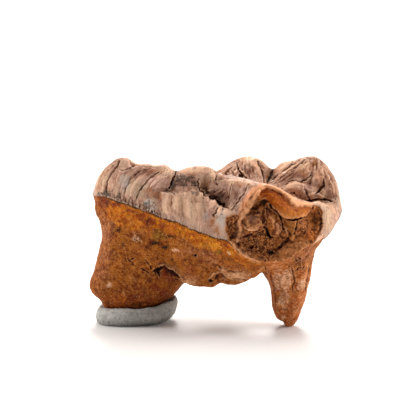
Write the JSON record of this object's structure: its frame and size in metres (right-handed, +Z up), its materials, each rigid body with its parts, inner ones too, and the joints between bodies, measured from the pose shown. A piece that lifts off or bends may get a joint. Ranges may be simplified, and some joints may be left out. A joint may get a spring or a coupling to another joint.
{
  "type": "fossil cave bear tooth",
  "caption": "Long fossil cheek tooth with ridged cusps, a broken open corner and spread roots, standing on a root tip and on a pressed lump of grey putty",
  "frame": {"origin": "middle of the underside of the box around tooth and putty, on the surface that they stand on", "axes": "+X along the tooth from its long low rear end to its broken front end, +Y from the near side with the break to the far side with the high cusps, +Z up from the root tip to the biting face"},
  "size_m": [0.0468, 0.0242, 0.0321],
  "materials": {
    "fossil_tooth": "enamel grey-beige and glossy, roots brown and dull",
    "grey_putty": "matt, slightly greasy"
  },
  "bodies": {
    "root": {"tooth": "fossil_tooth", "putty": "grey_putty"}
  },
  "joints": []
}
